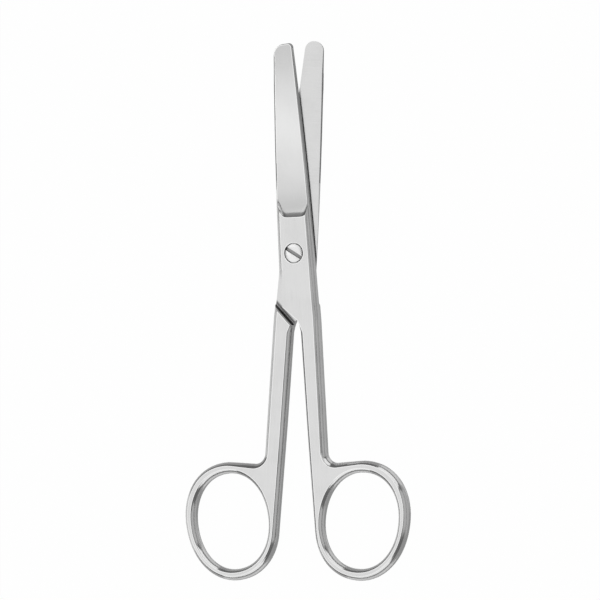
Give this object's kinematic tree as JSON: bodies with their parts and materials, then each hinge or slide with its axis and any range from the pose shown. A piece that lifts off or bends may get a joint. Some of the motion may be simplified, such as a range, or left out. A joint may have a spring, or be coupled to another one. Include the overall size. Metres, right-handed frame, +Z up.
{
  "type": "blunt operating scissors",
  "caption": "Straight operating scissors with blunt rounded tips, oval finger bows and a slotted pivot screw, lying flat and slightly open.",
  "frame": {"origin": "middle of the ground outline, on the surface that the scissors lie on", "axes": "+Y towards the tips, +Z up out of the screw's head, +X towards the front half's finger bow"},
  "size_m": [0.0656, 0.1448, 0.004],
  "materials": {
    "forged_steel": "satin polished stainless steel",
    "screw_steel": "fine turned and polished stainless steel"
  },
  "bodies": {
    "rear": {"rear_half": "forged_steel", "pivot_screw": "screw_steel"},
    "front": {"front_half": "forged_steel"}
  },
  "joints": [
    {"name": "pivot_hinge", "type": "hinge", "parent": "rear", "child": "front", "pos_m": [-0.00091, 0.0155, 0.00198], "axis": [0, 0, 1], "range_deg": [-5.85, 55]}
  ]
}
